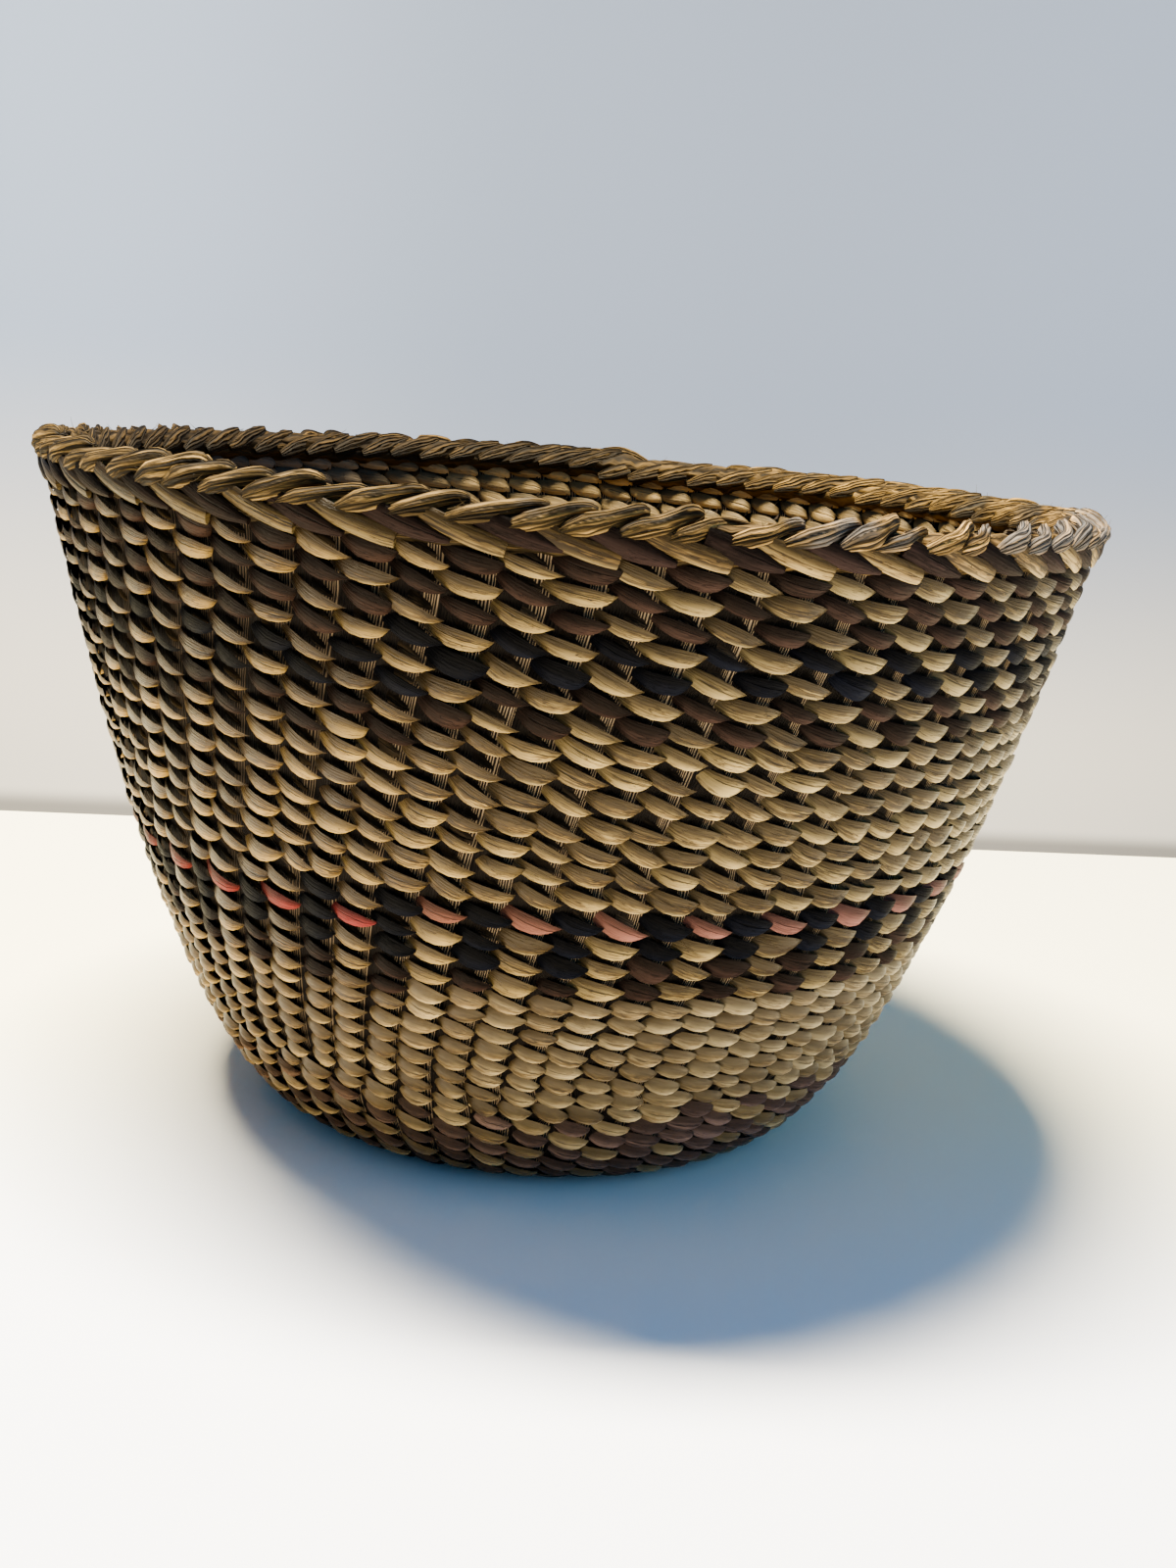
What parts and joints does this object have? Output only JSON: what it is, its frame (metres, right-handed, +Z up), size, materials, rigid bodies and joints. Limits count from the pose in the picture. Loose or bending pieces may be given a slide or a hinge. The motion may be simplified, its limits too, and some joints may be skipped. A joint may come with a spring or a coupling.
{
  "type": "twined basket",
  "caption": "Flared bowl basket of plant-fibre warps bound by twined weft with coloured bands, closed by a plaited rim.",
  "frame": {"origin": "middle of the base, on the surface that the basket stands on", "axes": "+Z up out of the open mouth; -Y is the side that faces the camera in the picture"},
  "size_m": [0.209, 0.209, 0.1299],
  "materials": {
    "tan_weft": "satin",
    "brown_weft": "satin",
    "black_weft": "satin",
    "pink_weft": "satin",
    "inner_weft": "matte",
    "warp_cord": "matte",
    "rim_plait": "matte"
  },
  "bodies": {
    "root": {"base_weft": "brown_weft", "folded_base_warp_1": "warp_cord", "folded_base_warp_10": "warp_cord", "folded_base_warp_11": "warp_cord", "folded_base_warp_12": "warp_cord", "folded_base_warp_13": "warp_cord", "folded_base_warp_14": "warp_cord", "folded_base_warp_15": "warp_cord", "folded_base_warp_16": "warp_cord", "folded_base_warp_2": "warp_cord", "folded_base_warp_3": "warp_cord", "folded_base_warp_4": "warp_cord", "folded_base_warp_5": "warp_cord", "folded_base_warp_6": "warp_cord", "folded_base_warp_7": "warp_cord", "folded_base_warp_8": "warp_cord", "folded_base_warp_9": "warp_cord", "folded_wall_warp_1": "warp_cord", "folded_wall_warp_2": "warp_cord", "folded_wall_warp_3": "warp_cord", "folded_wall_warp_4": "warp_cord", "folded_wall_warp_5": "warp_cord", "folded_wall_warp_6": "warp_cord", "folded_wall_warp_7": "warp_cord", "foot_brown_weft": "brown_weft", "foot_course": "brown_weft", "inner_weft_base": "inner_weft", "inner_weft_foot": "inner_weft", "inner_weft_lower": "inner_weft", "inner_weft_middle": "inner_weft", "inner_weft_upper": "inner_weft", "lengthwise_warp_1": "warp_cord", "lengthwise_warp_2": "warp_cord", "lengthwise_warp_3": "warp_cord", "lengthwise_warp_4": "warp_cord", "lengthwise_warp_5": "warp_cord", "lengthwise_warp_6": "warp_cord", "lengthwise_warp_7": "warp_cord", "lengthwise_warp_8": "warp_cord", "lower_black_weft": "black_weft", "lower_brown_weft": "brown_weft", "lower_tan_weft": "tan_weft", "middle_brown_weft": "brown_weft", "middle_tan_weft": "tan_weft", "pink_weft": "pink_weft", "rim_strand_inner": "rim_plait", "rim_strand_outer": "rim_plait", "rim_strand_top": "rim_plait", "upper_black_weft": "black_weft", "upper_brown_weft": "brown_weft", "widthwise_warp_1": "warp_cord", "widthwise_warp_2": "warp_cord", "widthwise_warp_3": "warp_cord", "widthwise_warp_4": "warp_cord", "widthwise_warp_5": "warp_cord", "widthwise_warp_6": "warp_cord", "widthwise_warp_7": "warp_cord", "widthwise_warp_8": "warp_cord"}
  },
  "joints": []
}
